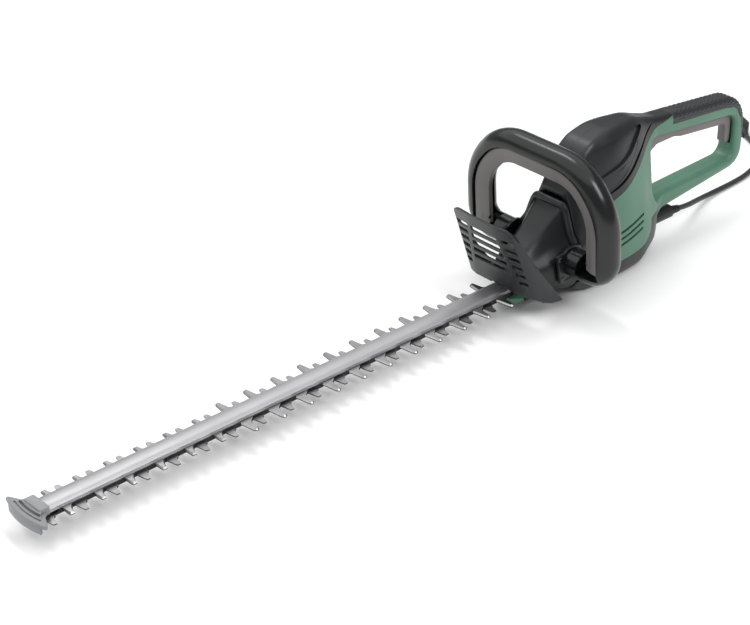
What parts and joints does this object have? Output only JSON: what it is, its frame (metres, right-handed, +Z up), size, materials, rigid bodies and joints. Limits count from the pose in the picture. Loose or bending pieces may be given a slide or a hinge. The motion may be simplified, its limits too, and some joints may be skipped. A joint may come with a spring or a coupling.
{
  "type": "hedge trimmer",
  "caption": "Corded electric hedge trimmer: double-action toothed blades on a long bar, hand guard, hoop front handle and closed rear handle, each with a switch lever.",
  "frame": {"origin": "on the ground under the middle of the tool's length and width, without its lead", "axes": "+X along the tool from the blade tip to the rear handle, +Y across it, +Z up"},
  "size_m": [1.3482, 0.2881, 0.2097],
  "materials": {
    "blade_steel": "ground, satin",
    "zinc_steel": "zinc plated",
    "bar_aluminium": "satin extruded",
    "tip_plastic": "fine moulded grain",
    "hard_steel": "hardened",
    "bronze": "sintered",
    "cast_plate": "die cast",
    "core_steel": "laminated",
    "copper": "lacquered",
    "carbon": "sintered carbon",
    "brass_holder": "stamped",
    "inner_plastic": "moulded",
    "black_plastic": "moulded, fine grain",
    "cover_plastic": "moulded, satin",
    "green_plastic": "moulded, satin",
    "handle_plastic": "moulded, satin gloss",
    "lever_plastic": "moulded, satin",
    "grip_rubber": "diamond texture",
    "cord_rubber": "smooth"
  },
  "bodies": {
    "root": {"support_bar": "bar_aluminium", "blade_bolts": "zinc_steel", "tip_guard": "tip_plastic", "gear_axle": "zinc_steel", "gear_plate": "cast_plate", "motor_bearings": "hard_steel", "field_core": "core_steel", "field_coils": "copper", "motor_frame": "inner_plastic", "carbon_brushes": "carbon", "brush_holders": "brass_holder", "gear_housing": "black_plastic", "side_plate_left": "black_plastic", "side_plate_right": "black_plastic", "side_plate_screws": "zinc_steel", "lower_housing": "green_plastic", "hand_guard": "black_plastic", "front_handle": "handle_plastic", "front_lever_pins": "zinc_steel", "front_switch": "inner_plastic", "rear_lever_pin": "zinc_steel", "rear_lever_spring": "zinc_steel", "rear_switch": "inner_plastic", "shell_screws": "zinc_steel", "strain_relief": "cord_rubber", "cord": "cord_rubber", "plug": "cord_rubber", "base_shoe": "black_plastic", "rear_grip": "grip_rubber", "shell_left": "green_plastic", "shell_right": "green_plastic", "motor_cover_left": "cover_plastic", "motor_cover_right": "cover_plastic"},
    "upper_blade": {"upper_blade": "blade_steel", "upper_crank_pin": "zinc_steel"},
    "lower_blade": {"lower_blade": "blade_steel", "lower_crank_pin": "zinc_steel"},
    "upper_rod": {"upper_rod": "hard_steel"},
    "lower_rod": {"lower_rod": "hard_steel"},
    "crank": {"drive_gear": "hard_steel", "upper_eccentric": "hard_steel", "lower_eccentric": "hard_steel", "gear_bush": "bronze"},
    "armature": {"armature_shaft": "zinc_steel", "pinion": "hard_steel", "armature_core": "core_steel", "armature_windings": "copper", "commutator": "copper", "cooling_fan": "inner_plastic"},
    "front_lever": {"front_lever": "lever_plastic", "front_lever_springs": "zinc_steel"},
    "front_plunger": {"front_plunger": "inner_plastic"},
    "rear_lever": {"rear_lever": "lever_plastic"},
    "rear_plunger": {"rear_plunger": "inner_plastic"}
  },
  "joints": [
    {"name": "upper_blade_slide", "type": "slide", "parent": "root", "child": "upper_blade", "axis": [1, 0, 0], "range_m": [-0.01, 0.01]},
    {"name": "lower_blade_slide", "type": "slide", "parent": "root", "child": "lower_blade", "axis": [1, 0, 0], "range_m": [-0.01, 0.01]},
    {"name": "upper_rod_swing", "type": "hinge", "parent": "upper_blade", "child": "upper_rod", "pos_m": [0.18881, 0, 0.0307], "axis": [0, 0, 1], "range_deg": [-18.56, 0]},
    {"name": "lower_rod_swing", "type": "hinge", "parent": "lower_blade", "child": "lower_rod", "pos_m": [0.18881, 0, 0.0213], "axis": [0, 0, 1], "range_deg": [0, 18.56]},
    {"name": "gear_spin", "type": "hinge", "parent": "root", "child": "crank", "pos_m": [0.25, 0, 0.0405], "axis": [0, 0, 1], "continuous": true},
    {"name": "armature_spin", "type": "hinge", "parent": "root", "child": "armature", "pos_m": [0.295, 0, 0.1], "axis": [0, 0, 1], "continuous": true},
    {"name": "front_lever_swing", "type": "hinge", "parent": "root", "child": "front_lever", "pos_m": [0.19255, 0, 0.0753], "axis": [0, 1, 0], "range_deg": [0, 3], "stiffness_Nm_per_rad": 8, "springref_deg": -2.86},
    {"name": "front_plunger_slide", "type": "slide", "parent": "root", "child": "front_plunger", "axis": [0.9976, 0, 0.0698], "range_m": [0, 0.0021]},
    {"name": "rear_lever_swing", "type": "hinge", "parent": "root", "child": "rear_lever", "pos_m": [0.393, 0, 0.153], "axis": [0, -1, 0], "range_deg": [0, 3], "stiffness_Nm_per_rad": 8, "springref_deg": -2.86, "deforming": ["rear_lever_spring"]},
    {"name": "rear_plunger_slide", "type": "slide", "parent": "root", "child": "rear_plunger", "axis": [0, 0, 1], "range_m": [0, 0.0021]}
  ],
  "couplings": [
    {"joint": "lower_blade_slide", "follows": "upper_blade_slide", "ratio": -1},
    {"joint": "armature_spin", "follows": "gear_spin", "ratio": -5},
    {"joint": "front_plunger_slide", "follows": "front_lever_swing", "m_per_rad": 0.04},
    {"joint": "rear_plunger_slide", "follows": "rear_lever_swing", "m_per_rad": 0.04}
  ]
}
